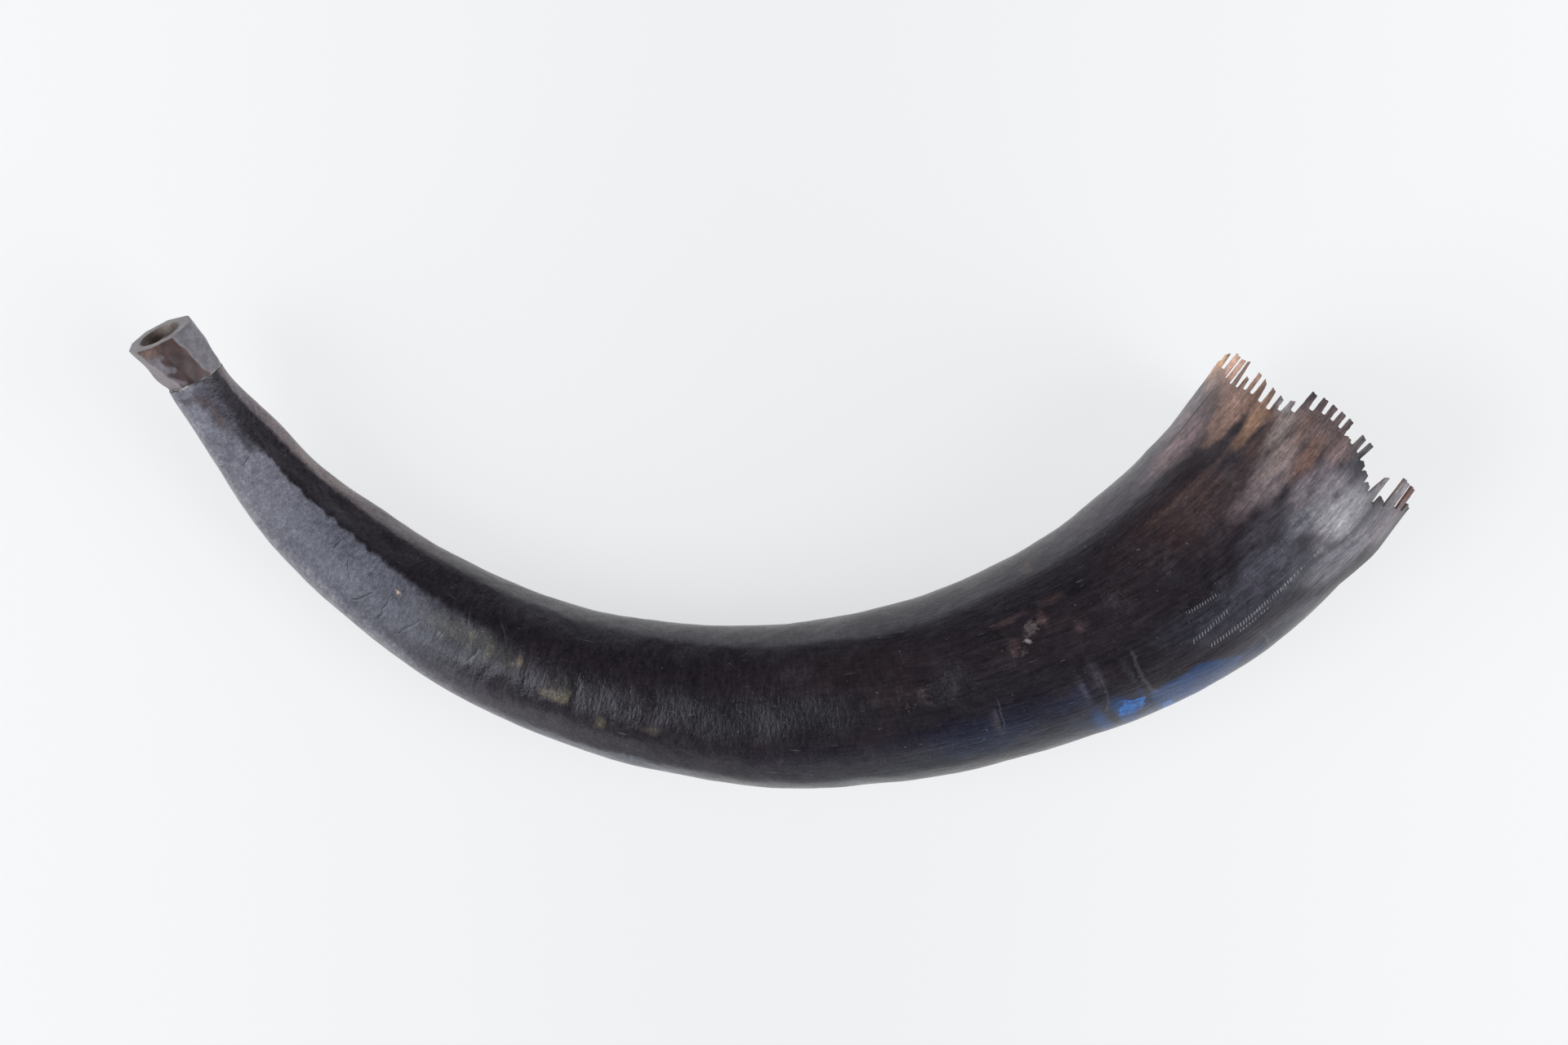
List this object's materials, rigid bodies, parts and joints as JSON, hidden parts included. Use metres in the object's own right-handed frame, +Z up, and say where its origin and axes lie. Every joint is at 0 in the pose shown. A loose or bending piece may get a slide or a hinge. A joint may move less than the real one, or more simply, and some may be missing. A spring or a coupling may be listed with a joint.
{
  "type": "blown horn",
  "caption": "Curved natural horn for blowing, hollow and open at a comb-cut bell, with a faceted mouthpiece tenoned and cemented into the drilled tip.",
  "frame": {"origin": "on the resting plane, under the middle of the whole object's box", "axes": "+Z up from the surface the horn lies on; X along the longest extent, bell at +X, mouthpiece at -X; the curve of the horn opens towards +Y"},
  "size_m": [0.4955, 0.184, 0.0876],
  "materials": {
    "horn": "near-black natural horn, scraped and polished to a satin sheen, with grey, ochre, tan and blue-stained areas",
    "mouthpiece_horn": "knife-carved grey-brown horn, satin",
    "cement": "dull pitch and glue, rough"
  },
  "bodies": {
    "root": {"horn_body": "horn", "mouthpiece": "mouthpiece_horn", "mouthpiece_cement": "cement"}
  },
  "joints": []
}
